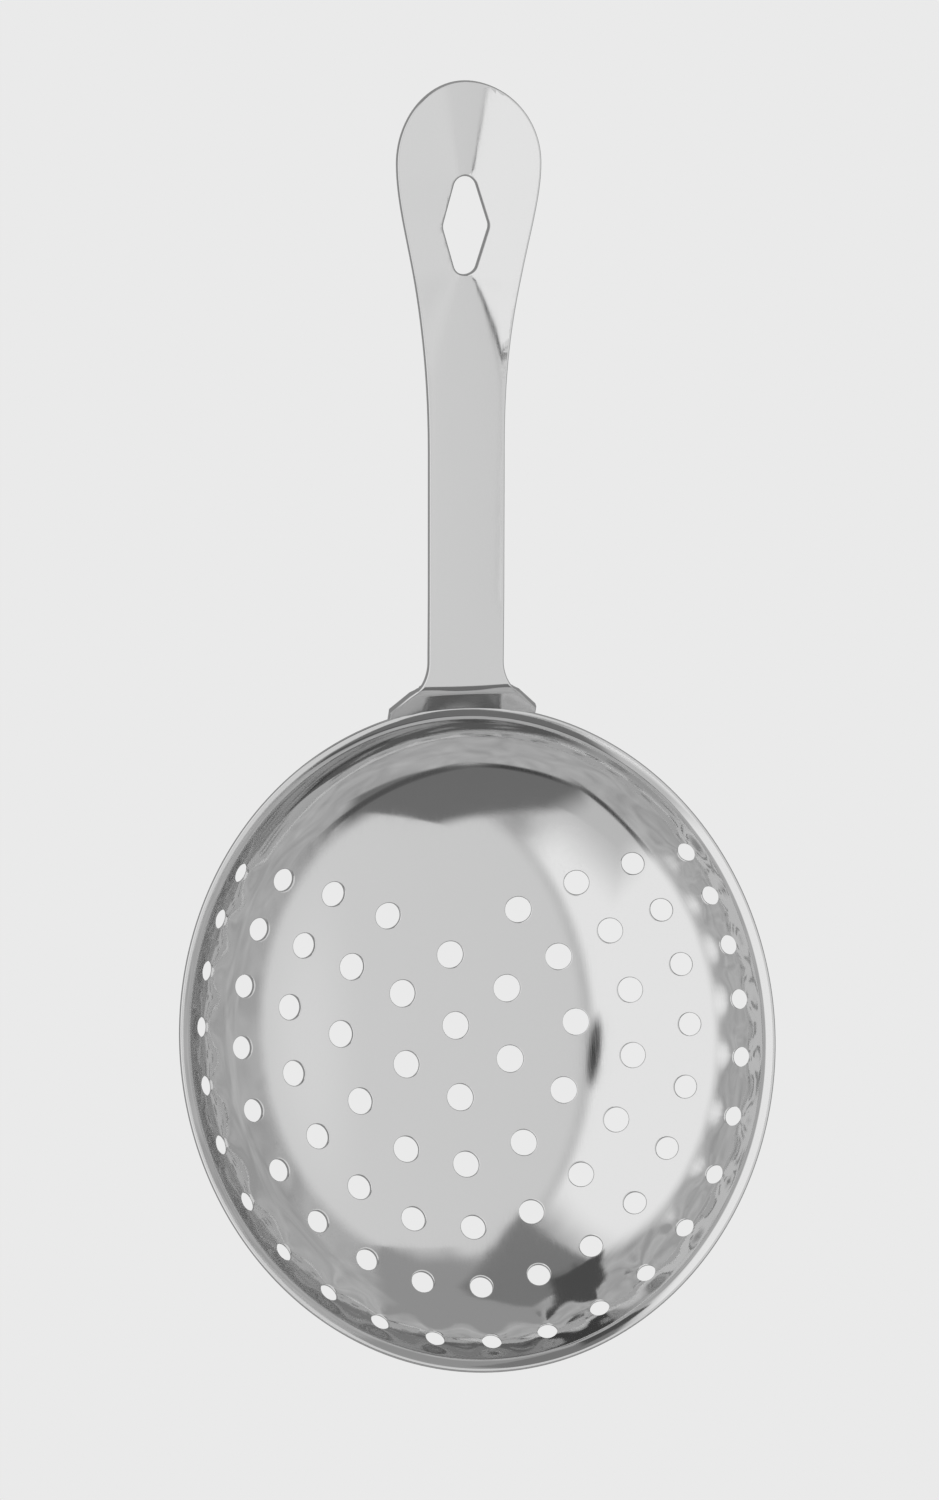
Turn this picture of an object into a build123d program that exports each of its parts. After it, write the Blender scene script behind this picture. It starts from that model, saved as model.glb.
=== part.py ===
"""Julep strainer: an oval perforated bowl with a flat handle spot-welded to its wall.

Millimetres. +Y runs from the bowl to the handle's end, +X is to the right, +Z is up, out of the
bowl's open side. The origin is the lowest point of the bowl's underside, on the bowl's own axis.
"""
from build123d import *
from math import asin, copysign, cos, degrees, hypot, radians, sin, tan
import os

# --- driving dimensions: bowl -------------------------------------------------------------------
bowl_width = 77.0          # across the lip, side to side
bowl_length = 84.2         # across the lip, along the handle
bowl_depth = 14.25         # inside, from the lip's top face to the lowest point
sheet = 0.6                # thickness of the bowl's sheet
wall_angle = 58.0          # slope of the wall at its top, degrees
shoulder_angle = 27.5      # slope where the dome turns into the wall, degrees
lip_width = 0.8            # flat part of the lip
lip_bend = 0.35            # inner radius of the bend between wall and lip
lip_edge_round = 0.15      # the lip's free edge is rounded off
lip_dressing = 0.05        # dressed off the pressed lip, so that its top face is truly flat

# --- driving dimensions: holes ------------------------------------------------------------------
hole_diameter = 3.5        # at the centre of the bowl
hole_shrink = 0.95         # how much smaller the outermost holes are
hole_shrink_power = 2.5    # the shrinking is mostly at the outermost rings
ring_holes = (6, 11, 15, 19, 23)  # a full ring has 6 more than the last; the rest are left out
rim_margin = 3.45          # from the outermost holes' centres up the wall to its top
ring_crowding = 0.07       # the rings draw together a little towards the rim
ring_offset = 0.5          # the outermost ring's centre, from the bowl's axis towards the handle
centre_offset = 1.5        # the centre hole lies this much further towards the handle
ring_stretch = 0.016       # the rings are this much longer than the bowl's oval
centre_stretch = 0.077     # and the innermost ones this much longer again
sector = 60.0              # degrees: a sixth of a ring holds as many holes as the ring's number
side_closing = 0.0015      # past one sector the holes draw together, by the square of the rest
side_closing_power = 1.3   # mostly at the outermost rings

# --- driving dimensions: handle -----------------------------------------------------------------
handle_thickness = 1.2
handle_length = 76.7       # from the bend to the tip, along the strip
handle_rise = 15.6         # slope of the handle above the rim's plane, degrees
neck_width = 9.7
paddle_width = 18.3        # the wide end that is held and hung up
paddle_round = 10.0        # from the widest line to the tip
neck_top = 31.0            # the parallel neck starts to widen this far from the bend
paddle_ease = 8.0          # how far the outline leaves its widest line before it tapers
neck_ease = 20.0           # how far the taper takes to run into the neck
slot_width = 5.8           # hanging slot, a rounded lozenge
slot_length = 12.3
slot_from_tip = 18.0       # from the slot's centre to the tip
slot_end_radius = 1.5
slot_side_radius = 1.6
bend_height = 3.5          # the bend, above the rim's plane
flare_width = 13.3         # width at the bend
flare_length = 5.5         # the neck starts to flare this far from the bend
foot_width = 18.5
foot_shoulder = 0.8        # the foot reaches its full width this far above the rim's plane
foot_drop = 10.8           # the foot reaches this far down the wall, along it
foot_corner = 5.0          # radius of the foot's lower corners
handle_edge_round = 0.3

# --- driving dimensions: welds and fits -----------------------------------------------------------
weld_diameter = 4.0
weld_pair_spacing = 11.0   # between the two upper welds
weld_pair_drop = 3.0       # upper welds below the top of the wall, along it
weld_single_drop = 7.0     # lower weld below the top of the wall, along it
weld_share = 0.5           # each nugget reaches through this share of either sheet
lip_relief_gap = 0.15      # the lip stops this far from the foot's edges

# --- worked out: the bowl's section ---------------------------------------------------------------
# The inside is two tangent arcs: a flat dome, then a tighter wall that ends at wall_top.
oval = bowl_length / bowl_width
rim_z = sheet + bowl_depth
pressed_z = rim_z + lip_dressing
lip_root = bowl_width / 2 - lip_width
lip_bend_top = lip_bend + sheet
wall_sin, wall_cos = sin(radians(wall_angle)), cos(radians(wall_angle))
dome_sin, dome_cos = sin(radians(shoulder_angle)), cos(radians(shoulder_angle))
wall_top = (lip_root - lip_bend_top * wall_sin, pressed_z - lip_bend_top * (1 - wall_cos))
wall_rise = wall_top[1] - sheet
spread = dome_sin * (dome_cos - wall_cos) - (wall_sin - dome_sin) * (1 - dome_cos)
dome_radius = (wall_top[0] * (dome_cos - wall_cos) - wall_rise * (wall_sin - dome_sin)) / spread
wall_radius = (wall_rise * dome_sin - wall_top[0] * (1 - dome_cos)) / spread
dome_centre = (0.0, sheet + dome_radius)
wall_centre = (wall_top[0] - wall_radius * wall_sin, wall_top[1] + wall_radius * wall_cos)
dome_run = dome_radius * radians(shoulder_angle)
section_run = dome_run + wall_radius * radians(wall_angle - shoulder_angle)


def slope_at(run):
    """Slope in degrees, this far along the inside from the lowest point."""
    if run <= dome_run:
        return degrees(run / dome_radius)
    return shoulder_angle + degrees((run - dome_run) / wall_radius)


def section_point(slope, depth=0.0):
    """Radius and height where the section has this slope, this deep below its inner face."""
    on_dome = slope <= shoulder_angle
    centre = dome_centre if on_dome else wall_centre
    radius = (dome_radius if on_dome else wall_radius) + depth
    return centre[0] + radius * sin(radians(slope)), centre[1] - radius * cos(radians(slope))


def wall_plane(x, y, depth=0.0):
    """Plane that touches the oval wall at x, y, this deep below its inner face, facing inwards."""
    radius = hypot(x, y / oval)
    if radius == 0:
        return Plane(origin=(0, 0, sheet - depth))
    if radius <= (dome_radius + depth) * dome_sin:
        slope = degrees(asin(radius / (dome_radius + depth)))
    else:
        slope = degrees(asin((radius - wall_centre[0]) / (wall_radius + depth)))
    lean = tan(radians(slope)) / radius
    height = section_point(slope, depth)[1]
    return Plane(origin=(x, y, height), z_dir=(-lean * x, -lean * y / oval**2, 1))


def ring_planes(ring):
    """Planes of one ring's holes, spaced as in a honeycomb, with a gap on the handle's side."""
    share = ring / len(ring_holes)
    run = (section_run - rim_margin) * share * (1 + ring_crowding * (1 - share))
    radius = section_point(slope_at(run))[0]
    along = radius * oval * (1 + ring_stretch + centre_stretch * (1 - share) ** 2)
    shift = ring_offset + centre_offset * (1 - share**2)
    closing = side_closing * share**side_closing_power
    planes = []
    for i in range(ring_holes[ring - 1]):
        turn = (i - ring_holes[ring - 1] // 2) * sector / ring
        past_side = max(0, abs(turn) - sector)
        turn = radians(copysign(abs(turn) - closing * past_side**2, turn))
        planes.append(wall_plane(radius * sin(turn), shift - along * cos(turn)))
    return planes


def ring_hole_diameter(ring):
    return hole_diameter - hole_shrink * (ring / len(ring_holes)) ** hole_shrink_power


# --- worked out: where the handle lies ------------------------------------------------------------
# The foot's inner face is the wall's outer face, carried on straight up to the bend.
foot_top = section_point(wall_angle, sheet)
bend_radius = foot_top[0] + (rim_z + bend_height - foot_top[1]) / tan(radians(wall_angle))
strip_plane = Plane(
    origin=(0, bend_radius * oval, rim_z + bend_height),
    x_dir=(1, 0, 0),
    z_dir=(0, -sin(radians(handle_rise)), cos(radians(handle_rise))),
)
foot_end_slope = slope_at(section_run - foot_drop)
foot_end_z = section_point(foot_end_slope, sheet)[1]
band_rise = 2 * bend_height + handle_thickness
band_lean = (band_rise / tan(radians(wall_angle)), band_rise)


def wall_band(inner_depth, outer_depth):
    """Section between two depths below the wall's inner face, from the foot's lower end up
    past the bend, as radius and height."""
    start = foot_end_slope - 90
    sweep_angle = wall_angle - foot_end_slope
    with BuildSketch() as band:
        with BuildLine():
            inner = CenterArc(wall_centre, wall_radius + inner_depth, start, sweep_angle)
            outer = CenterArc(wall_centre, wall_radius + outer_depth, start, sweep_angle)
            Polyline(inner @ 1, inner @ 1 + band_lean, outer @ 1 + band_lean, outer @ 1)
            Line(inner @ 0, outer @ 0)
        make_face()
    return band.sketch


def foot_outline(gap):
    """The foot as seen from the end of the handle, this much larger at its sides."""
    half = foot_width / 2 + gap
    half_at_bend = flare_width / 2 + gap
    with BuildSketch() as outline:
        with BuildLine():
            side = Polyline(
                (0, foot_end_z),
                (half, foot_end_z),
                (half, rim_z + foot_shoulder),
                (half_at_bend, rim_z + bend_height),
                (half_at_bend, rim_z + band_rise),
                (0, rim_z + band_rise),
            )
            mirror(side, about=Plane.YZ)
        make_face()
        fillet(outline.vertices().group_by(Axis.Y)[0], foot_corner)
    return outline.sketch


def wall_shell(inner_depth, outer_depth):
    """The wall between two depths below its inner face, all the way round the bowl."""
    with BuildPart() as shell:
        with BuildSketch(Plane.XZ):
            add(wall_band(inner_depth, outer_depth))
        revolve(axis=Axis.Z)
        scale(by=(1, oval, 1), about=(0, 0, 0))
    return shell.part


def foot_blank(gap):
    """The part of the handle that lies on the wall, this much larger at its sides."""
    with BuildPart() as blank:
        add(wall_shell(sheet, sheet + handle_thickness))
        with BuildSketch(Plane.XZ):
            add(foot_outline(gap))
        extrude(amount=-bowl_length, mode=Mode.INTERSECT)
    return blank.part


# --- spot welds: the nuggets between wall and foot ------------------------------------------------
weld_spots = (
    (-weld_pair_spacing / 2, weld_pair_drop),
    (weld_pair_spacing / 2, weld_pair_drop),
    (0.0, weld_single_drop),
)
weld_planes = []
for across, drop in weld_spots:
    reach = section_point(slope_at(section_run - drop), sheet)[0]
    along = oval * (reach**2 - across**2) ** 0.5
    weld_planes.append(wall_plane(across, along, sheet))

with BuildPart() as spot_welds:
    with BuildSketch(*weld_planes):
        Circle(weld_diameter / 2)
    extrude(amount=weld_share * sheet)
    with BuildSketch(*weld_planes):
        Circle(weld_diameter / 2)
    extrude(amount=-weld_share * handle_thickness)

# --- handle: one blanked and bent strip -----------------------------------------------------------
with BuildPart() as foot:
    add(foot_blank(0))
    split(bisect_by=strip_plane, keep=Keep.BOTTOM)

with BuildPart() as handle:
    with BuildSketch(strip_plane):
        widest = handle_length - paddle_round
        with BuildLine():
            EllipticalCenterArc((0, widest), paddle_width / 2, paddle_round, 0, arc_size=90)
            taper = Bezier(
                (paddle_width / 2, widest),
                (paddle_width / 2, widest - paddle_ease),
                (neck_width / 2, neck_top + neck_ease),
                (neck_width / 2, neck_top),
            )
            neck = Line(taper @ 1, (neck_width / 2, flare_length))
            flare = TangentArc(neck @ 1, (flare_width / 2, 0), tangent=(0, -1))
            overlap = flare @ 1 + (flare % 1) * handle_thickness
            Polyline(flare @ 1, overlap, (0, overlap.Y))
            mirror(about=Plane.YZ)
        make_face()
    extrude(amount=-handle_thickness)
    ends = handle.faces().filter_by(Axis(strip_plane.origin, strip_plane.z_dir))
    fillet(ends.edges().sort_by(Axis.Y)[2:], handle_edge_round)
    slot_spread = slot_length / 2 - slot_end_radius, slot_width / 2 - slot_side_radius
    with BuildSketch(strip_plane):
        with Locations((0, handle_length - slot_from_tip)):
            with Locations((0, slot_spread[0]), (0, -slot_spread[0])):
                Circle(slot_end_radius)
            with Locations((slot_spread[1], 0), (-slot_spread[1], 0)):
                Circle(slot_side_radius)
        make_hull()
    extrude(amount=-handle_thickness, mode=Mode.SUBTRACT)
    add(wall_shell(-wall_radius / 2, sheet), mode=Mode.SUBTRACT)  # all that the strip has inside the wall
    add(foot)
    add(spot_welds, mode=Mode.SUBTRACT)
handle.part.label = "handle"

# --- bowl: one pressed and pierced sheet ----------------------------------------------------------
with BuildPart() as bowl:
    with BuildSketch(Plane.XZ) as bowl_section:
        with BuildLine():
            wall_turn = wall_angle - shoulder_angle
            dome_in = CenterArc(dome_centre, dome_radius, -90, shoulder_angle)
            dome_out = CenterArc(dome_centre, dome_radius + sheet, -90, shoulder_angle)
            CenterArc(wall_centre, wall_radius, shoulder_angle - 90, wall_turn)
            CenterArc(wall_centre, wall_radius + sheet, shoulder_angle - 90, wall_turn)
            bend_centre = (lip_root, pressed_z - lip_bend_top)
            bend_top = CenterArc(bend_centre, lip_bend_top, 90, wall_angle)
            bend_under = CenterArc(bend_centre, lip_bend, 90, wall_angle)
            lip_end = bowl_width / 2
            Polyline(
                bend_top @ 0, (lip_end, pressed_z), (lip_end, pressed_z - sheet), bend_under @ 0
            )
            Line(dome_in @ 0, dome_out @ 0)
        make_face()
        fillet(bowl_section.vertices().group_by(Axis.X)[-1], lip_edge_round)
    revolve(axis=Axis.Z)
    scale(by=(1, oval, 1), about=(0, 0, 0))
    split(bisect_by=Plane.XY.offset(rim_z), keep=Keep.BOTTOM)
    add(foot_blank(lip_relief_gap), mode=Mode.SUBTRACT)
    add(spot_welds, mode=Mode.SUBTRACT)
    with BuildSketch(wall_plane(0, ring_offset + centre_offset)):
        Circle(hole_diameter / 2)
    extrude(amount=2 * sheet, both=True, mode=Mode.SUBTRACT)
    for ring in range(1, len(ring_holes) + 1):
        with BuildSketch(*ring_planes(ring)):
            Circle(ring_hole_diameter(ring) / 2)
        extrude(amount=2 * sheet, both=True, mode=Mode.SUBTRACT)
bowl.part.label = "bowl"
spot_welds.part.label = "spot_welds"

os.makedirs("parts", exist_ok=True)
export_step(bowl.part, "parts/bowl.step")
export_step(handle.part, "parts/handle.step")
export_step(spot_welds.part, "parts/spot_welds.step")
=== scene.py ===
# %% [markdown]
# # A julep strainer in polished stainless steel
# A bartender holds this little strainer inside a mixing glass, so that the drink pours and the ice
# stays. It is three things: a pressed bowl full of punched holes, a flat strip that is the handle,
# and the spot welds that join them. Polished steel has hardly any colour of its own. What the eye
# sees is the room, bent by the metal's shape, so most of the work is in smooth shapes and in what
# stands round them.

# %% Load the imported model
from math import asin, atan2, copysign, cos, cosh, degrees, hypot, log, pi, radians, sin, sqrt, tan

import bmesh
import bpy
from mathutils import Matrix, Vector


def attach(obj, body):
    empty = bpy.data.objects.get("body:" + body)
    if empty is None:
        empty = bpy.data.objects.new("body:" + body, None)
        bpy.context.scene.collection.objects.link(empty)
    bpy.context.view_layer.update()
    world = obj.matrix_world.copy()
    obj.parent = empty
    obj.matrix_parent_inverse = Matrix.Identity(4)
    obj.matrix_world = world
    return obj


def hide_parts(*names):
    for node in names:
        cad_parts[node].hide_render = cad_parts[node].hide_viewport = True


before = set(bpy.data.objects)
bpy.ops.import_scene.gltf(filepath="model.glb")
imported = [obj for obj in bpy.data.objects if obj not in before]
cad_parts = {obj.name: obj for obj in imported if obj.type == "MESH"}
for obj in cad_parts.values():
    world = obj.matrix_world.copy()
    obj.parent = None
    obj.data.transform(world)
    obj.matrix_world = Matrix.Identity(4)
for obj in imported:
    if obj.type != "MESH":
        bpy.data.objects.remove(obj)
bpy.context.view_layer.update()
scene = bpy.context.scene
print("nodes in the packed model:", sorted(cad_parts))

# %% [markdown]
# ## Sizes
# These are the strainer's own sizes in millimetres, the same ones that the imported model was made
# from. The inside of the bowl is two arcs that run into each other: a flat dome in the middle and
# a tighter wall that ends in a narrow lip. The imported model's lip is a flat ring, and its three
# numbers are here because they fix where the wall ends. The bowl is a little longer than it is
# wide, so everything round is stretched along the handle by the same share.

# %% Sizes of the bowl
bowl_width, bowl_length, bowl_depth = 77.0, 84.2, 14.25
sheet = 0.6
wall_angle, shoulder_angle = 58.0, 27.5
lip_width, lip_bend, lip_dressing = 0.8, 0.35, 0.05

oval = bowl_length / bowl_width
rim_z = sheet + bowl_depth
pressed_z = rim_z + lip_dressing
lip_root = bowl_width / 2 - lip_width
lip_bend_top = lip_bend + sheet
wall_sin, wall_cos = sin(radians(wall_angle)), cos(radians(wall_angle))
dome_sin, dome_cos = sin(radians(shoulder_angle)), cos(radians(shoulder_angle))
wall_top = (lip_root - lip_bend_top * wall_sin, pressed_z - lip_bend_top * (1 - wall_cos))
wall_rise = wall_top[1] - sheet
spread = dome_sin * (dome_cos - wall_cos) - (wall_sin - dome_sin) * (1 - dome_cos)
dome_radius = (wall_top[0] * (dome_cos - wall_cos) - wall_rise * (wall_sin - dome_sin)) / spread
wall_radius = (wall_rise * dome_sin - wall_top[0] * (1 - dome_cos)) / spread
dome_centre = (0.0, sheet + dome_radius)
wall_centre = (wall_top[0] - wall_radius * wall_sin, wall_top[1] + wall_radius * wall_cos)
dome_run = dome_radius * radians(shoulder_angle)
section_run = dome_run + wall_radius * radians(wall_angle - shoulder_angle)


def slope_at(run):
    """Slope of the inside, in degrees, this far from the lowest point along the sheet."""
    if run <= dome_run:
        return degrees(run / dome_radius)
    return shoulder_angle + degrees((run - dome_run) / wall_radius)


def section_point(slope, depth=0.0):
    """Radius and height where the inside has this slope, this deep below its face."""
    on_dome = slope <= shoulder_angle
    centre = dome_centre if on_dome else wall_centre
    radius = (dome_radius if on_dome else wall_radius) + depth
    return centre[0] + radius * sin(radians(slope)), centre[1] - radius * cos(radians(slope))


print(f"dome radius {dome_radius:.1f} mm, wall radius {wall_radius:.1f} mm, rim at {rim_z:.2f} mm")

# %% Sizes of the handle
handle_thickness, handle_length, handle_rise = 1.2, 76.7, 15.6
neck_width, paddle_width, paddle_round = 9.7, 18.3, 10.0
neck_top, paddle_ease, neck_ease = 31.0, 8.0, 20.0
slot_width, slot_length, slot_from_tip = 5.8, 12.3, 18.0
slot_end_radius, slot_side_radius = 1.5, 1.6
bend_height, flare_width, flare_length = 3.5, 12.4, 3.6
foot_width, foot_shoulder, foot_drop, foot_corner = 19.0, 1.2, 10.8, 5.0

foot_top = section_point(wall_angle, sheet)
bend_radius = foot_top[0] + (rim_z + bend_height - foot_top[1]) / tan(radians(wall_angle))
bend_y, bend_z = bend_radius * oval, rim_z + bend_height
print(f"the handle bends {bend_y:.1f} mm from the bowl's axis, {bend_z:.1f} mm up")

# %% [markdown]
# ## Camera
# The strainer lies on its back and is looked at from nearly straight above, a little from the
# left, through a long lens. A long lens far away keeps the oval an oval. The camera is placed by
# its distance from the middle of the rim and two small lean angles, then aimed at the spot that
# should be in the middle of the frame.

# %% Camera
camera_distance = 759.0
lean_side, lean_along, roll = 12.1, -1.67, 3.3
lens, sensor = 144.0, 36.0
aim_right, aim_up = -1.33, 36.4

view = (Matrix.Rotation(radians(lean_along), 3, "X") @ Matrix.Rotation(radians(lean_side), 3, "Y")
        @ Matrix.Rotation(radians(roll), 3, "Z"))
right, up, back = (Vector(row) for row in view)
rim_middle = Vector((0, 0, rim_z))
eye = rim_middle + back * camera_distance
target = rim_middle + right * aim_right + up * aim_up
look = (eye - target).normalized()
side = up.cross(look).normalized()
upright = look.cross(side)

bpy.ops.object.select_all(action="DESELECT")
bpy.ops.object.camera_add(location=eye / 1000)
camera = bpy.context.object
camera.rotation_euler = Matrix((side, upright, look)).transposed().to_euler()
camera.data.sensor_fit = "VERTICAL"
camera.data.sensor_height = sensor
camera.data.lens = lens
camera.data.clip_start, camera.data.clip_end = 0.01, 20
scene.camera = camera
print("camera at", [round(c) for c in eye], "mm")

# %% [markdown]
# ## Helpers for modelling
# A new primitive is added with everything else deselected, because an operator acts on all that is
# selected. Points are picked in code by a question about their place, and the operator then moves,
# extrudes or bevels what was picked, as it would by hand. All sizes are given in millimetres.

# %% Picking and moving
same_place = 2e-6       # in metres: points nearer than this are one point


def deselect():
    bpy.ops.object.select_all(action="DESELECT")


def edit(obj):
    deselect()
    obj.select_set(True)
    bpy.context.view_layer.objects.active = obj
    bpy.ops.object.mode_set(mode="EDIT")
    bpy.ops.mesh.select_mode(type="VERT")
    bpy.ops.mesh.select_all(action="DESELECT")


def done():
    bpy.ops.object.mode_set(mode="OBJECT")


def pick(test):
    """Selects only the points of the mesh in edit mode whose place in mm passes the test."""
    bpy.ops.mesh.select_all(action="DESELECT")
    data = bmesh.from_edit_mesh(bpy.context.object.data)
    for v in data.verts:
        v.select = bool(test(v.co * 1000))
    data.select_flush_mode()
    bmesh.update_edit_mesh(bpy.context.object.data)


def move(x=0.0, y=0.0, z=0.0, **options):
    bpy.ops.transform.translate(value=(x / 1000, y / 1000, z / 1000), **options)


def press(x, y, z, size):
    """Moves the picked points, and draws the points within this size along with them."""
    move(x, y, z, use_proportional_edit=True, proportional_edit_falloff="SMOOTH",
         proportional_size=size / 1000)


def apply_modifier(obj, kind, **settings):
    deselect()
    obj.select_set(True)
    bpy.context.view_layer.objects.active = obj
    modifier = obj.modifiers.new(kind.title(), kind)
    for name, value in settings.items():
        setattr(modifier, name, value)
    bpy.ops.object.modifier_apply(modifier=modifier.name)


def copy_of(obj, name):
    twin = obj.copy()
    twin.data = obj.data.copy()
    twin.name = twin.data.name = name
    scene.collection.objects.link(twin)
    return twin


def join_all(parts, kept):
    """Makes one object of these parts, each where it stands. The others join the kept one."""
    deselect()
    for part in parts:
        part.select_set(True)
    bpy.context.view_layer.objects.active = kept
    bpy.ops.object.transform_apply(location=True, rotation=True, scale=True)
    bpy.ops.object.join()
    return bpy.context.object


def first_point(name, x, y, z):
    """A mesh of one point: a tiny plane whose corners are merged."""
    deselect()
    bpy.ops.mesh.primitive_plane_add(size=0.001, location=(0, 0, 0))
    obj = bpy.context.object
    obj.name = obj.data.name = name
    edit(obj)
    bpy.ops.mesh.select_all(action="SELECT")
    bpy.ops.mesh.merge(type="CENTER")
    bpy.ops.mesh.select_all(action="SELECT")
    move(x, y, z)
    return obj


def draw_line(points):
    """Extrudes the selected point from place to place, (x, y, z) in mm, and leaves the last one."""
    for last, point in zip(points, points[1:]):
        step = [(b - a) / 1000 for a, b in zip(last, point)]
        bpy.ops.mesh.extrude_region_move(TRANSFORM_OT_translate={"value": step})


def spin_round(steps):
    """Spins the drawn half section once round the upright axis and closes its seam and poles."""
    bpy.ops.mesh.select_all(action="SELECT")
    bpy.ops.mesh.spin(steps=steps, angle=2 * pi, center=(0, 0, 0), axis=(0, 0, 1))
    bpy.ops.mesh.select_all(action="SELECT")
    bpy.ops.mesh.remove_doubles(threshold=same_place)
    bpy.ops.mesh.normals_make_consistent(inside=False)


def arc(centre, radius, start, end, steps):
    """Points (x, 0, z) along an arc whose angles are slopes: 0 points down, 90 outwards."""
    turns = [radians(start + (end - start) * i / steps) for i in range(steps + 1)]
    return [(centre[0] + radius * sin(t), 0, centre[1] - radius * cos(t)) for t in turns]


print("helpers ready")

# %% [markdown]
# ## The bowl's sheet
# The real bowl is blanked from 0.6 mm sheet and pressed between two dies, so its inside and outside
# are the same curve a sheet's thickness apart. Its edge flares: the wall climbs at 58 degrees, and
# the lip past its bend at only 30. The section is drawn once, as half of the bowl cut down the
# middle, and spun round the axis, which is how a lathe worker would think of it. Stretching the
# round bowl along the handle makes it oval.

# %% Bowl section, spun and stretched
around = 240
round_edge = 0.28
lip_lean, flare_bend = -30.0, 1.0
bend_starts, bend_ends = -53.0, -50.0       # first lean above the sheet, and last one below it
flare_bend_top = flare_bend + sheet
lip_sin, lip_cos = sin(radians(lip_lean)), cos(radians(lip_lean))
bend_middle = (wall_top[0] + flare_bend_top * wall_sin, wall_top[1] - flare_bend_top * wall_cos)


def arc_over(centre, radius, start, stop, points):
    """Arc over a crest. Its angles are how far the surface leans outwards, in degrees."""
    leans = [radians(start + (stop - start) * i / (points - 1)) for i in range(points)]
    return [(centre[0] + radius * sin(a), 0, centre[1] + radius * cos(a)) for a in leans]


section = arc(dome_centre, dome_radius, 0, shoulder_angle, 26)
section += arc(wall_centre, wall_radius, shoulder_angle, wall_angle, 24)[1:]
section += arc_over(bend_middle, flare_bend_top, bend_starts, lip_lean, 8)
edge_reach = bowl_width / 2 - round_edge - bend_middle[0]
edge_run = (edge_reach - (flare_bend_top - round_edge) * lip_sin) / lip_cos
for reach, turn in ((flare_bend_top - round_edge, 0), (flare_bend + round_edge, 90)):
    centre = (bend_middle[0] + reach * lip_sin + edge_run * lip_cos,
              bend_middle[1] + reach * lip_cos - edge_run * lip_sin)
    section += arc_over(centre, round_edge, lip_lean + turn, lip_lean + turn + 90, 5)
section += arc_over(bend_middle, flare_bend, lip_lean, bend_ends, 5)
section += arc(wall_centre, wall_radius + sheet, wall_angle, shoulder_angle, 20)
section += arc(dome_centre, dome_radius + sheet, shoulder_angle, 0, 16)[1:]

bowl_sheet = first_point("bowl_sheet", *section[0])
draw_line(section)
spin_round(around)
bpy.ops.transform.resize(value=(1, oval, 1), center_override=(0, 0, 0))
done()
bpy.ops.object.shade_smooth()
print("bowl sheet:", len(bowl_sheet.data.polygons), "faces")

# %% [markdown]
# ## Where the holes go
# The holes lie in rings round a centre hole, spaced like a honeycomb: each ring has six more than
# the last, apart from the ones left out under the handle. A press punches them square to the
# sheet. One punch is modelled, a short pin, and copied to each place; all of the copies are then
# taken away from the bowl together.

# %% Places of the holes
hole_diameter, hole_shrink, hole_shrink_power = 3.5, 0.95, 2.5
ring_holes = (6, 11, 15, 19, 23)
rim_margin, ring_crowding, ring_offset, centre_offset = 3.45, 0.07, 0.5, 1.5
ring_stretch, centre_stretch = 0.016, 0.077
sector, side_closing, side_closing_power = 60.0, 0.0015, 1.3


def on_wall(x, y, depth=0.0):
    """The point of the bowl's sheet above (x, y), and the direction that faces out of it."""
    radius = hypot(x, y / oval)
    if radius == 0:
        return Vector((0, 0, sheet - depth)), Vector((0, 0, 1))
    if radius <= (dome_radius + depth) * dome_sin:
        slope = degrees(asin(radius / (dome_radius + depth)))
    else:
        slope = degrees(asin((radius - wall_centre[0]) / (wall_radius + depth)))
    lean = tan(radians(slope)) / radius
    height = section_point(slope, depth)[1]
    return Vector((x, y, height)), Vector((-lean * x, -lean * y / oval**2, 1)).normalized()


def ring_places(ring):
    """Where one ring's holes are, as (x, y)."""
    share = ring / len(ring_holes)
    run = (section_run - rim_margin) * share * (1 + ring_crowding * (1 - share))
    radius = section_point(slope_at(run))[0]
    along = radius * oval * (1 + ring_stretch + centre_stretch * (1 - share) ** 2)
    shift = ring_offset + centre_offset * (1 - share**2)
    places = []
    for i in range(ring_holes[ring - 1]):
        turn = (i - ring_holes[ring - 1] // 2) * sector / ring
        past_side = max(0, abs(turn) - sector)
        closing = side_closing * share**side_closing_power * past_side**2
        turn = radians(copysign(abs(turn) - closing, turn))
        places.append((radius * sin(turn), shift - along * cos(turn)))
    return places


holes = [((0.0, ring_offset + centre_offset), hole_diameter)]
for ring in range(1, len(ring_holes) + 1):
    size = hole_diameter - hole_shrink * (ring / len(ring_holes)) ** hole_shrink_power
    holes += [(place, size) for place in ring_places(ring)]
print(len(holes), "holes")

# %% [markdown]
# ## Dents that the tools left
# Thin sheet gives a little wherever a tool touches it. Each punch draws the steep wall down round
# its hole by about a fifth of a millimetre, which nobody would feel, but a mirror shows it as a row
# of lens shapes between the outer holes. Proportional editing does it: a few points are moved and
# their neighbours follow, less and less with distance.

# %% Dents round the outer holes
dent_depth, dent_reach, dent_touch = 0.2, 3.0, 0.8
edit(bowl_sheet)
for (x, y), _ in holes[-ring_holes[-1]:]:
    spot, outwards = on_wall(x, y)
    pick(lambda p: (p - spot).length < dent_touch)
    press(*(-dent_depth * outwards), dent_reach)
done()
print("dented round", ring_holes[-1], "holes")

# %% [markdown]
# ## Piercing
# A punch leaves a hole whose upper edge is drawn over a little. So the punch is a pin whose body
# flares at 45 degrees just where it meets the two faces of the sheet, and one cut makes the hole
# and its broken edges together. It is drawn with a radius of 1 mm, and each copy's body and ends
# are then widened for its own hole. The bowl is copied before the cut, because the copy still knows
# how the whole surface leans: the cut leaves long thin faces that would shade badly, so the cut
# bowl takes its normals from the copy everywhere except inside the holes.

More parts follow.
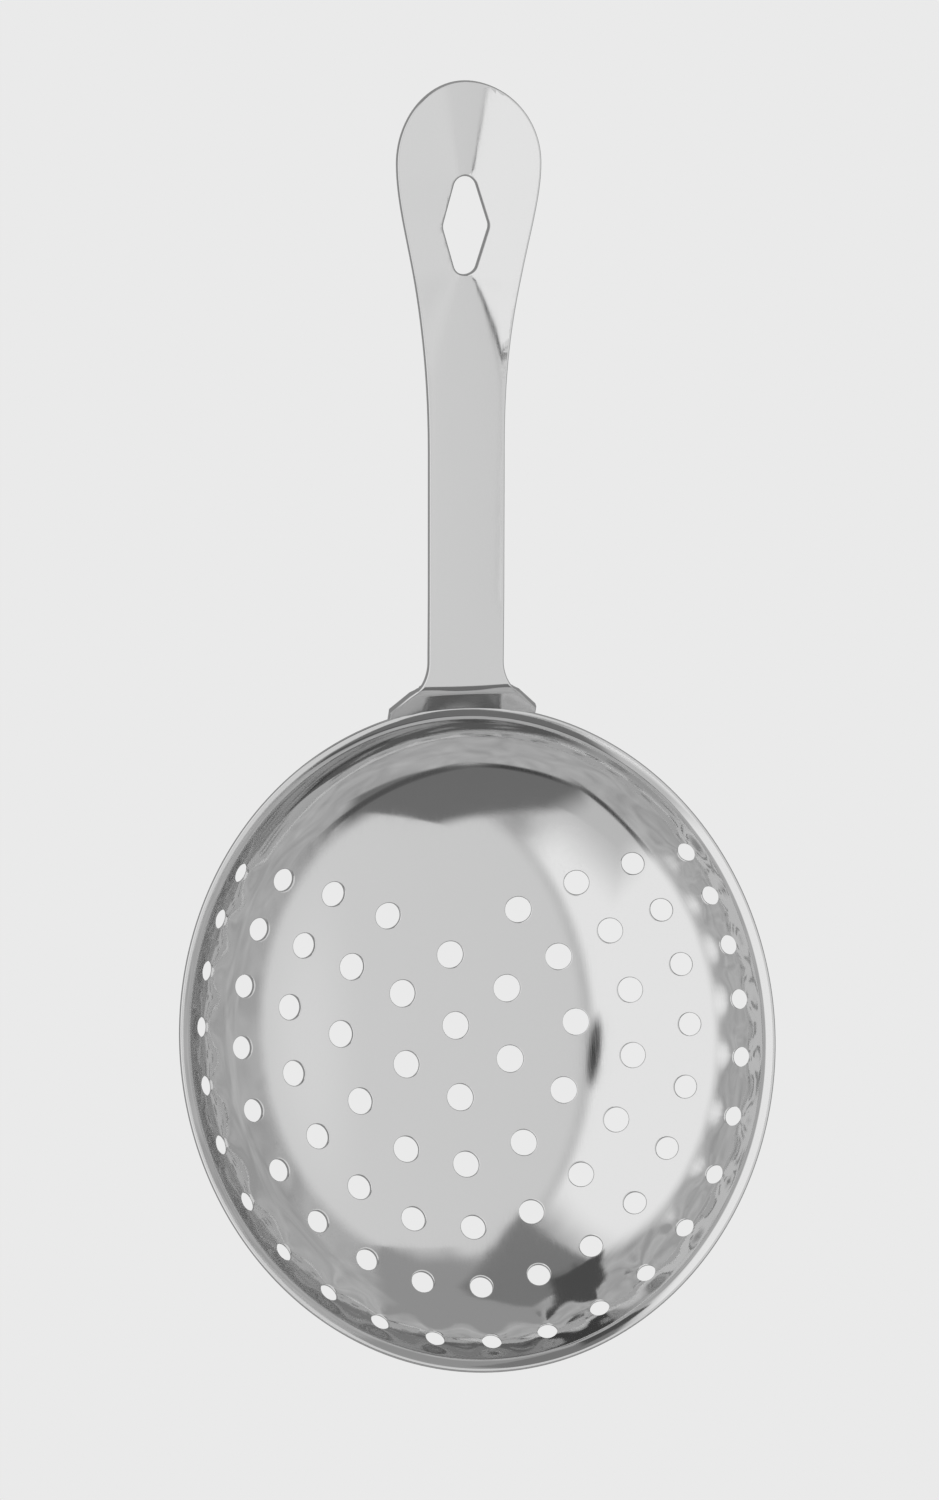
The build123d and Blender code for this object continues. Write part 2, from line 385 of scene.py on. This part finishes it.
# %% Cut a sheet and keep it smooth
def pierce(obj, punches):
    """Cuts the punches out of a sheet and gives its faces the whole sheet's normals."""
    whole = copy_of(obj, obj.name + "_whole")
    apply_modifier(obj, "BOOLEAN", object=punches, operation="DIFFERENCE", solver="EXACT")
    surface = obj.vertex_groups.new(name="surface")
    near = 0.008 / 1000
    on_surface = []
    for v in obj.data.vertices:
        hit, place, _, _ = whole.closest_point_on_mesh(v.co)
        if hit and (place - v.co).length < near:
            on_surface.append(v.index)
    surface.add(on_surface, 1.0, "REPLACE")
    apply_modifier(obj, "DATA_TRANSFER", object=whole, use_loop_data=True,
                   data_types_loops={"CUSTOM_NORMAL"}, loop_mapping="POLYINTERP_NEAREST",
                   vertex_group="surface")
    for spent in (whole, punches):
        bpy.data.objects.remove(spent)
    print(obj.name, "pierced:", len(obj.data.polygons), "faces,",
          len(on_surface), "points on the surface")


# %% The bowl's punches
edge_break, flare, pin_sides = 0.1, 0.5, 40
pin_end = 1 + edge_break + flare
past_axis, past_body, past_face = 0.5, 1.05, 0.2
pin = [(0, 0, -sheet - flare), (pin_end, 0, -sheet - flare), (1, 0, -sheet + edge_break),
       (1, 0, -edge_break), (pin_end, 0, flare), (0, 0, flare)]
punch = first_point("punch", *pin[0])
draw_line(pin)
spin_round(pin_sides)
done()
punches = []
for (x, y), size in holes:
    spot, outwards = on_wall(x, y)
    tool = copy_of(punch, f"punch_{len(punches)}")
    edit(tool)
    pick(lambda p: past_axis < hypot(p.x, p.y) < past_body)
    bpy.ops.transform.resize(value=(size / 2, size / 2, 1), center_override=(0, 0, 0))
    pick(lambda p: hypot(p.x, p.y) > past_body and abs(p.z + sheet / 2) > sheet / 2 + past_face)
    wide = (size / 2 + edge_break + flare) / pin_end
    bpy.ops.transform.resize(value=(wide, wide, 1), center_override=(0, 0, 0))
    done()
    tool.rotation_euler = outwards.to_track_quat("Z", "Y").to_euler()
    tool.location = spot / 1000
    punches.append(tool)
bpy.data.objects.remove(punch)
pierce(bowl_sheet, join_all(punches, kept=punches[0]))
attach(bowl_sheet, "root")
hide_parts("bowl")

# %% [markdown]
# ## The handle
# The handle is one strip of thicker sheet. The factory blanks it flat, with its slot, dishes it a
# little along its middle so that it is stiff and sits well in the hand, and bends its root down to
# lie on the bowl's wall. The same order is the easy one here: a flat outline has clean edges to
# bevel, and only then is it cut into narrow strips by bisecting, so that it can bend smoothly.
# Distances are measured from the bend line, along the strip: the handle is positive, the foot
# negative.

# %% Outline of the blank
def bezier(a, b, c, d, t):
    return a * (1 - t) ** 3 + 3 * b * t * (1 - t) ** 2 + 3 * c * t**2 * (1 - t) + d * t**3


widest = handle_length - paddle_round
wall_steps, taper_steps, flare_steps = 12, 30, 8
foot_slope = slope_at(section_run - foot_drop)
foot_slopes = [wall_angle + (foot_slope - wall_angle) * i / wall_steps
               for i in range(wall_steps + 1)]
wall_line = [(bend_y, bend_z)]
wall_line += [(radius * oval, z) for radius, z in (section_point(a, sheet) for a in foot_slopes)]
wall_parts = list(zip(wall_line, wall_line[1:]))
leans = [degrees(atan2(z0 - z1, y0 - y1)) for (y0, z0), (y1, z1) in wall_parts]
runs = [hypot(y0 - y1, z0 - z1) for (y0, z0), (y1, z1) in wall_parts]
foot_run = sum(runs)
shoulder_run = (bend_height - foot_shoulder) / sin(radians(leans[0]))

tip = [(paddle_width / 2 * sin(radians(a)), widest + paddle_round * cos(radians(a)))
       for a in range(0, 90, 4)]
taper = [(bezier(paddle_width / 2, paddle_width / 2, neck_width / 2, neck_width / 2, t),
          bezier(widest, widest - paddle_ease, neck_top + neck_ease, neck_top, t))
         for t in [i / taper_steps for i in range(taper_steps + 1)]]
grow = (flare_width - neck_width) / 2
curve = (grow**2 + flare_length**2) / (2 * grow)
flared = [(neck_width / 2 + curve - sqrt(curve**2 - (flare_length - v) ** 2), v)
          for v in [flare_length - flare_length * i / flare_steps for i in range(flare_steps + 1)]]
shoulder = [(foot_width / 2, -shoulder_run)]
corner = [(foot_width / 2 - foot_corner * (1 - cos(a)), -foot_run + foot_corner * (1 - sin(a)))
          for a in [radians(d) for d in range(0, 91, 10)]]
half_outline = tip + taper + flared + shoulder + corner
outline = half_outline + [(-x, y) for x, y in reversed(half_outline) if x > 0.001]
print("blank:", round(handle_length + foot_run, 1), "mm long,", len(outline), "corners")

# %% The flat blank
handle_strip = first_point("handle_strip", outline[0][0], outline[0][1], -handle_thickness)
draw_line([(x, y, -handle_thickness) for x, y in outline + outline[:1]])
bpy.ops.mesh.select_all(action="SELECT")
bpy.ops.mesh.remove_doubles(threshold=same_place)
bpy.ops.mesh.edge_face_add()
bpy.ops.mesh.extrude_region_move(TRANSFORM_OT_translate={"value": (0, 0, handle_thickness / 1000)})
bpy.ops.mesh.select_all(action="SELECT")
bpy.ops.mesh.normals_make_consistent(inside=False)
done()
print("flat blank:", [round(c * 1000, 1) for c in handle_strip.dimensions])

# %% [markdown]
# The slot is a rounded lozenge: the outline of an elastic band stretched over four pins. That is
# also how its punch is made, with four short cylinders and Convex Hull.

# %% Punch the slot and round the edges
slot_sides, strip_edge = 48, 0.26
slot_at = handle_length - slot_from_tip
slot_reach, slot_spread = slot_length / 2 - slot_end_radius, slot_width / 2 - slot_side_radius
pins = []
for x, y, r in ((0, slot_reach, slot_end_radius), (0, -slot_reach, slot_end_radius),
                (slot_spread, 0, slot_side_radius), (-slot_spread, 0, slot_side_radius)):
    deselect()
    bpy.ops.mesh.primitive_cylinder_add(vertices=slot_sides, radius=r / 1000, depth=0.008,
                                        location=(x / 1000, (slot_at + y) / 1000, 0))
    pins.append(bpy.context.object)
slot_punch = join_all(pins, kept=pins[-1])
edit(slot_punch)
bpy.ops.mesh.select_all(action="SELECT")
bpy.ops.mesh.convex_hull()
done()
apply_modifier(handle_strip, "BOOLEAN", object=slot_punch, operation="DIFFERENCE", solver="EXACT")
bpy.data.objects.remove(slot_punch)
apply_modifier(handle_strip, "BEVEL", width=strip_edge / 1000, segments=4, limit_method="ANGLE",
               angle_limit=radians(60), use_clamp_overlap=False)
print("slotted:", len(handle_strip.data.polygons), "faces")

# %% Cut into narrow strips
def bisect(at, facing):
    bpy.ops.mesh.select_all(action="SELECT")
    bpy.ops.mesh.bisect(plane_co=[c / 1000 for c in at], plane_no=facing)


bend_round, bend_lines, row_step = 2.2, 10, 1.0
turn = radians(leans[0] - handle_rise)
bend_from = bend_round * tan(turn / 2)
edit(handle_strip)
half_columns = (0.3, 0.6, 0.9, 1.2, 1.6, 2.0, 2.5, 3.1, 3.8, 4.4, 5.4)
for x in [0.0] + [hand * x for x in half_columns for hand in (1, -1)]:
    bisect((x, 0, 0), (1, 0, 0))
bend_rows = [bend_from - 2 * bend_from * i / (bend_lines - 1) for i in range(bend_lines)]
rows = bend_rows + [bend_from + row_step * i for i in range(1, int(handle_length))]
roll_rows = [-sum(runs[:i + 1]) for i in range(len(runs) - 1)]
rows += roll_rows + [(roll_rows[0] - bend_from) / 2]
for y in rows:
    bisect((0, y, 0), (0, 1, 0))
done()
print("cut into", len(handle_strip.data.polygons), "faces")

# %% [markdown]
# ## Dishing and bending
# Each step is a small press tool. To dish the strip, its columns of points are pushed up the more
# the further they are from the middle. The two flanks slope evenly and meet in a valley, sharp at
# the slot and wide at the neck. To bend the root, everything beyond each of ten close lines is
# turned by a few degrees about that line, so the turns add up to a round bend. The rest of the
# foot is rolled to the wall's curve in the same way, and its sides are pushed in to follow the
# bowl's round wall.

# %% Dish the strip
neck_flank, neck_valley, neck_opening, neck_run = 0.46, 8.0, 0.55, 12.0
paddle_flank, slot_valley, tip_opening = 0.33, 0.9, 0.18
widens_from, widens_over = 30.0, 30.0
level, flat_end, fade_from, fade_over = 0.45, 0.1, -1.0, 13.0


def dish(x, y):
    """Height of the dished strip. Its flanks slope evenly and meet in a valley that is sharpest at
    the slot and widens towards the tip and the neck."""
    past_slot = max(0.0, abs(y - slot_at) - slot_length / 2)
    if y > slot_at:
        flank, valley = paddle_flank, slot_valley + tip_opening * past_slot
    else:
        flank = paddle_flank + (neck_flank - paddle_flank) * min(1.0, past_slot / neck_run)
        valley = min(neck_valley, slot_valley + neck_opening * past_slot)
    return flank * valley * log(cosh(x / valley))


def half_width(y):
    """Half of the strip's width here, near enough to level the dish."""
    share = min(1.0, max(0.0, (y - widens_from) / widens_over))
    return neck_width / 2 + (paddle_width - neck_width) / 2 * share


for v in handle_strip.data.vertices:
    x, y = v.co.x * 1000, v.co.y * 1000
    fading = min(1.0, max(flat_end, (y - fade_from) / fade_over))
    if y > 0:
        v.co.z += fading * (dish(x, y) - level * dish(half_width(y), y)) / 1000
print("dished at the slot by", round(dish(paddle_width / 2, slot_at), 2), "mm")


# %% Bend the root and roll the foot
def turn_beyond(y, degrees_down):
    """Turns all that lies beyond this line down towards the bowl, about the line."""
    pick(lambda p: p.y < y - 1e-3)
    bpy.ops.transform.rotate(value=-radians(degrees_down), orient_axis="X",
                             center_override=(0, y / 1000, 0))


edit(handle_strip)
for i in reversed(range(len(roll_rows))):
    turn_beyond(roll_rows[i], leans[i + 1] - leans[i])
for y in reversed(bend_rows):
    turn_beyond(y, degrees(turn) / len(bend_rows))
bpy.ops.mesh.select_all(action="SELECT")
bpy.ops.transform.rotate(value=-radians(handle_rise), orient_axis="X", center_override=(0, 0, 0))
move(y=bend_y, z=bend_z)
done()
hug_from, hug_over, past_bend = 0.3, 3.5, 2.0
for v in handle_strip.data.vertices:
    x, y, z = v.co * 1000
    if z < bend_z - hug_from and y < bend_y + past_bend:
        radius = y / oval
        share = min(1.0, (bend_z - hug_from - z) / hug_over)
        v.co.y += share * oval * (sqrt(radius**2 - x**2) - radius) / 1000
bpy.ops.object.shade_smooth()
apply_modifier(handle_strip, "WEIGHTED_NORMAL", mode="FACE_AREA", weight=60, keep_sharp=False)
handle_top = max(v.co.z for v in handle_strip.data.vertices) * 1000
print("bent:", [round(c * 1000, 2) for c in handle_strip.dimensions], "top", round(handle_top, 2))
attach(handle_strip, "root")
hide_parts("handle")

# %% [markdown]
# ## Steel finishes
# Stainless steel is a neutral grey mirror. Pressed and tumbled steel isn't a perfect one: the
# tumbling stones leave a haze of tiny crossing scratches, and the sheet keeps a faint waviness.
# Roughness carries the haze and a very small bump carries the waviness. The die was turned on a
# lathe, and its faint rings, about 0.7 mm apart, come off on the bowl's steep wall: a second bump
# draws them as broken oval lines. Metal keeps the default IOR, because its brightness comes from the base colour.

# %% Colour and node helpers
def colour(hex_code):
    """sRGB hex to the linear colour that a shader wants."""
    channels = [int(hex_code[i:i + 2], 16) / 255 for i in (1, 3, 5)]
    return (*[c / 12.92 if c <= 0.04045 else ((c + 0.055) / 1.055) ** 2.4 for c in channels], 1.0)


def node(tree, kind, inputs=(), **settings):
    """Adds a node with its settings. inputs maps a socket to a value, or to another node's output."""
    made = tree.nodes.new(kind)
    for name, value in settings.items():
        setattr(made, name, value)
    for name, value in dict(inputs).items():
        if isinstance(value, bpy.types.NodeSocket):
            tree.links.new(value, made.inputs[name])
        else:
            made.inputs[name].default_value = value
    return made


def new_material(name):
    material = bpy.data.materials.new(name)
    material.use_nodes = True
    material.node_tree.nodes.clear()
    return material, material.node_tree


def wear(obj, material):
    obj.data.materials.clear()
    obj.data.materials.append(material)


# %% Pressed and tumbled stainless steel
patch_size, scratch_width, scratch_height = 9.0, 0.12, 0.5
ring_spacing, ring_breaks = 0.7, 2.2
spun_from, spun_full = 8.5, 12.5


def spin_marks(tree, place, below, depth):
    """Bumps in broken oval rings round the bowl's axis, on the steep part of its wall only."""
    spot = node(tree, "ShaderNodeSeparateXYZ", {0: place})
    along = node(tree, "ShaderNodeMath", {0: spot.outputs["Y"], 1: oval},
                 operation="DIVIDE").outputs["Value"]
    bearing = node(tree, "ShaderNodeMath", {0: along, 1: spot.outputs["X"]},
                   operation="ARCTAN2").outputs["Value"]
    flat = node(tree, "ShaderNodeCombineXYZ", {"X": spot.outputs["X"], "Y": along})
    radius = node(tree, "ShaderNodeVectorMath", {0: flat.outputs["Vector"]},
                  operation="LENGTH").outputs["Value"]
    outwards = node(tree, "ShaderNodeMath", {0: radius, 1: 1000 / ring_spacing},
                    operation="MULTIPLY").outputs["Value"]
    round_axis = node(tree, "ShaderNodeMath", {0: bearing, 1: ring_breaks},
                      operation="MULTIPLY").outputs["Value"]
    turned = node(tree, "ShaderNodeCombineXYZ", {"X": outwards, "Y": round_axis})
    rings = node(tree, "ShaderNodeTexNoise",
                 {"Vector": turned.outputs["Vector"], "Scale": 1.0, "Detail": 3.0})
    steep = node(tree, "ShaderNodeMapRange",
                 {"Value": spot.outputs["Z"], "From Min": spun_from / 1000,
                  "From Max": spun_full / 1000, "To Min": 0.0, "To Max": 1.0})
    return node(tree, "ShaderNodeBump",
                {"Height": rings.outputs["Fac"], "Distance": depth / 1000,
                 "Strength": steep.outputs["Result"], "Normal": below.outputs["Normal"]})


def steel(name, shade, haze, scratch_length, scratch_depth, wave_size, wave_depth, spun_depth=0):
    """Polished stainless. The sizes are in mm, the haze is the lowest and highest roughness."""
    material, tree = new_material(name)
    place = node(tree, "ShaderNodeTexCoord").outputs["Object"]
    patches = node(tree, "ShaderNodeTexNoise",
                   {"Vector": place, "Scale": 1000 / patch_size, "Detail": 4.0})
    stretch = (1000 / scratch_width, 1000 / scratch_length, 1000 / scratch_height)
    stretched = node(tree, "ShaderNodeMapping", {"Vector": place, "Scale": stretch})
    scratches = node(tree, "ShaderNodeTexNoise",
                     {"Vector": stretched.outputs["Vector"], "Scale": 1.0, "Detail": 2.0})
    blend = node(tree, "ShaderNodeMix",
                 {"Factor": 0.5, "A": patches.outputs["Fac"], "B": scratches.outputs["Fac"]})
    rough = node(tree, "ShaderNodeMapRange",
                 {"Value": blend.outputs["Result"], "From Min": 0.35, "From Max": 0.65,
                  "To Min": haze[0], "To Max": haze[1]})
    waves = node(tree, "ShaderNodeTexNoise",
                 {"Vector": place, "Scale": 1000 / wave_size, "Detail": 2.0})
    wavy = node(tree, "ShaderNodeBump",
                {"Height": waves.outputs["Fac"], "Distance": wave_depth / 1000, "Strength": 1.0})
    if spun_depth:
        wavy = spin_marks(tree, place, wavy, spun_depth)
    scratched = node(tree, "ShaderNodeBump",
                     {"Height": scratches.outputs["Fac"], "Distance": scratch_depth / 1000,
                      "Strength": 1.0, "Normal": wavy.outputs["Normal"]})
    shader = node(tree, "ShaderNodeBsdfPrincipled",
                  {"Base Color": colour(shade), "Metallic": 1.0,
                   "Roughness": rough.outputs["Result"], "Normal": scratched.outputs["Normal"]})
    node(tree, "ShaderNodeOutputMaterial", {"Surface": shader.outputs["BSDF"]})
    return material


bowl_steel = steel("tumbled_stainless_bowl", "#CBCBCB", haze=(0.03, 0.09),
                   scratch_length=6.0, scratch_depth=0.0004,
                   wave_size=14.0, wave_depth=0.012, spun_depth=0.008)
handle_steel = steel("rolled_stainless_handle", "#CBCBCB", haze=(0.08, 0.13),
                     scratch_length=14.0, scratch_depth=0.0006, wave_size=16.0, wave_depth=0.01)
weld_steel = steel("fused_weld_steel", "#A9A6A2", haze=(0.35, 0.5),
                   scratch_length=2.0, scratch_depth=0.002, wave_size=3.0, wave_depth=0.02)
wear(bowl_sheet, bowl_steel)
wear(handle_strip, handle_steel)
wear(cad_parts["spot_welds"], weld_steel)
print("steels:", bowl_steel.name, handle_steel.name, weld_steel.name)

# %% [markdown]
# ## The studio
# Shiny things are lit by what they reflect, so a room of plain cards is built round the strainer. A
# large round diffuser hangs above and to the right, brighter on its right side and held in a duller
# frame. A brighter softbox stands to the left, with a small fill card by the foot of the table.
# Dark flags at the head and the foot give the bowl its dark crescents, and the camera's arm, close
# above the bowl, gives it one soft dark spot. The cards aren't seen by the camera, only by the
# steel. The floor is a pale lit table: it glows an even pale grey to the camera, and the steel's
# reflections see it as a darker painted grey.

# %% Floor and room
def lit(tree, hex_code):
    return node(tree, "ShaderNodeEmission", {"Color": colour(hex_code)}).outputs["Emission"]


deselect()
bpy.ops.mesh.primitive_plane_add(size=6, location=(0, 0, -0.0002))
floor = bpy.context.object
floor.name = "floor"
table, tree = new_material("lit_table")
path = node(tree, "ShaderNodeLightPath")
# The camera sees the floor as #EAEAEA. Reflections in the steel see a darker painted grey, #A0A0A0: painted shade
# in the reflected floor.
painted_darker_reflection, seen = lit(tree, "#A0A0A0"), lit(tree, "#EAEAEA")
both = node(tree, "ShaderNodeMixShader",
            {0: path.outputs["Is Camera Ray"], 1: painted_darker_reflection, 2: seen})
node(tree, "ShaderNodeOutputMaterial", {"Surface": both.outputs["Shader"]})
wear(floor, table)

world = bpy.data.worlds.new("studio_air")
scene.world = world
world.use_nodes = True
air = world.node_tree
heading = node(air, "ShaderNodeTexCoord").outputs["Object"]
patches = node(air, "ShaderNodeTexNoise",
               {"Vector": heading, "Scale": 5.0, "Detail": 3.0, "Distortion": 1.5})
greys = node(air, "ShaderNodeMapRange",
             {"Value": patches.outputs["Fac"], "From Min": 0.3, "From Max": 0.7,
              "To Min": 0.78, "To Max": 1.12})
air.links.new(greys.outputs["Result"], air.nodes["Background"].inputs["Strength"])
air.nodes["Background"].inputs["Color"].default_value = colour("#D0D0D0")
scene.view_settings.view_transform = "Standard"
print("floor and room ready")

# %% [markdown]
# A card is a plane that always faces the bowl. Where it hangs is told by two angles from straight
# up, to the right and to the far end of the table, and its half sizes are angles too. So a card
# can be moved or grown by looking at which part of the steel shows it. Its edge fades, as the edge
# of a cloth lit from behind does, and it may be brighter towards one side.

# %% How a card is hung
def direction(side_turn, head_turn):
    """Unit vector this many degrees from straight up, towards +X and +Y."""
    tilt, heading = radians(hypot(side_turn, head_turn)), atan2(head_turn, side_turn)
    return Vector((sin(tilt) * cos(heading), sin(tilt) * sin(heading), cos(tilt)))


def soft_mask(tree, place, soft, oval_card):
    """A mask that is 1 on a card's middle and 0 at its edge, and the place across the card, from
    -1 to 1. soft is the share of its size that fades."""
    spot = node(tree, "ShaderNodeSeparateXYZ", {0: place})
    if oval_card:
        reach = node(tree, "ShaderNodeVectorMath", {0: place}, operation="LENGTH")
    else:
        wide = node(tree, "ShaderNodeMath", {0: spot.outputs["X"]}, operation="ABSOLUTE")
        high = node(tree, "ShaderNodeMath", {0: spot.outputs["Y"]}, operation="ABSOLUTE")
        reach = node(tree, "ShaderNodeMath",
                     {0: wide.outputs["Value"], 1: high.outputs["Value"]}, operation="MAXIMUM")
    fade = node(tree, "ShaderNodeMapRange",
                {"Value": reach.outputs["Value"], "From Min": 1.0 - soft, "From Max": 1.0,
                 "To Min": 1.0, "To Max": 0.0}, interpolation_type="SMOOTHSTEP")
    return fade.outputs["Result"], spot.outputs["X"]


def crease(tree, place, creased):
    """Shifts a card's pattern to and fro, as folds in its cloth would."""
    folds = node(tree, "ShaderNodeTexNoise", {"Vector": place, "Scale": 1.6, "Detail": 2.0})
    centred = node(tree, "ShaderNodeVectorMath",
                   {0: folds.outputs["Color"], 1: (0.5, 0.5, 0.5)}, operation="SUBTRACT")
    shift = node(tree, "ShaderNodeVectorMath",
                 {0: centred.outputs["Vector"], "Scale": creased}, operation="SCALE")
    return node(tree, "ShaderNodeVectorMath",
                {0: place, 1: shift.outputs["Vector"]}, operation="ADD").outputs["Vector"]


def card(name, towards, half_wide, half_high, distance, hex_code, strength=1.0, soft=0.15,
         oval_card=False, roll=0, gain=(1, 1), creased=0):
    """Hangs a card. soft is the share of its size that fades, gain the brightness of its left and
    right edge, and creased how far the cloth's folds move its edges."""
    facing = direction(*towards)
    across = (Vector((1, 0, 0)) - facing * facing.x).normalized()
    deselect()
    bpy.ops.mesh.primitive_plane_add(size=2, location=facing * distance)
    flag = bpy.context.object
    flag.name = name
    axes = Matrix((across, facing.cross(across), facing)).transposed()
    flag.rotation_euler = (axes @ Matrix.Rotation(radians(roll), 3, "Z")).to_euler()
    flag.scale = (distance * tan(radians(half_wide)), distance * tan(radians(half_high)), 1)
    material, tree = new_material(name + "_cloth")
    place = node(tree, "ShaderNodeTexCoord").outputs["Object"]
    if creased:
        place = crease(tree, place, creased)
    mask, across_card = soft_mask(tree, place, soft, oval_card)
    bright = node(tree, "ShaderNodeMapRange",
                  {"Value": across_card, "From Min": -1.0, "From Max": 1.0,
                   "To Min": strength * gain[0], "To Max": strength * gain[1]})
    glow = node(tree, "ShaderNodeEmission",
                {"Color": colour(hex_code), "Strength": bright.outputs["Result"]})
    clear = node(tree, "ShaderNodeBsdfTransparent")
    mixed = node(tree, "ShaderNodeMixShader",
                 {0: mask, 1: clear.outputs["BSDF"], 2: glow.outputs["Emission"]})
    node(tree, "ShaderNodeOutputMaterial", {"Surface": mixed.outputs["Shader"]})
    wear(flag, material)
    flag.visible_camera = False
    flag.visible_shadow = False


# %% The lights
card("round_diffuser", (21, -1), 38.5, 42.5, 1.2, "#FAFAFA", 1.0, 0.12, oval_card=True, gain=(0.98, 1.03))
card("diffuser_bright_side", (46, 0), 14, 30, 1.19, "#FFFFFF", 1.06, 0.9, oval_card=True)
card("diffuser_frame", (19.5, -1), 38.5, 42, 1.25, "#DADADA", 1.0, 0.1, oval_card=True)
card("left_softbox", (-28, -1), 36, 50, 1.6, "#FFFFFF", 1.27, 0.35, oval_card=True)
card("left_fill", (-25, -42), 13, 18, 1.42, "#E4E4E4", 1.0, 0.7, roll=-32)
print("lights hung")

# %% The dark flags
card("head_flag", (-11, 55), 7.5, 12.5, 1.3, "#5C5C5C", soft=0.25, roll=8, creased=0.5)
card("head_flag_middle", (2, 47), 11.5, 11.5, 1.35, "#929292", soft=0.15, roll=45, creased=0.3)
card("head_flag_wide", (21, 55), 21, 18, 1.45, "#B2B2B2", soft=0.3, creased=0.5)
card("foot_flag", (9, -50), 31, 12, 1.45, "#848484", soft=0.2, roll=4, creased=0.15)
card("foot_edge_left", (-31, -52), 16, 2.6, 1.3, "#5E5E5E", soft=0.7, roll=-36)
card("foot_edge", (-5, -61), 15, 2.4, 1.3, "#4E4E4E", soft=0.7)
card("foot_edge_right", (30, -50), 21, 3.0, 1.3, "#626262", soft=0.6, roll=23, creased=0.2)
card("camera_arm", (-14, 3.8), 1.6, 6.8, 0.236, "#484848", soft=0.5, oval_card=True, roll=-12)
print("flags hung")
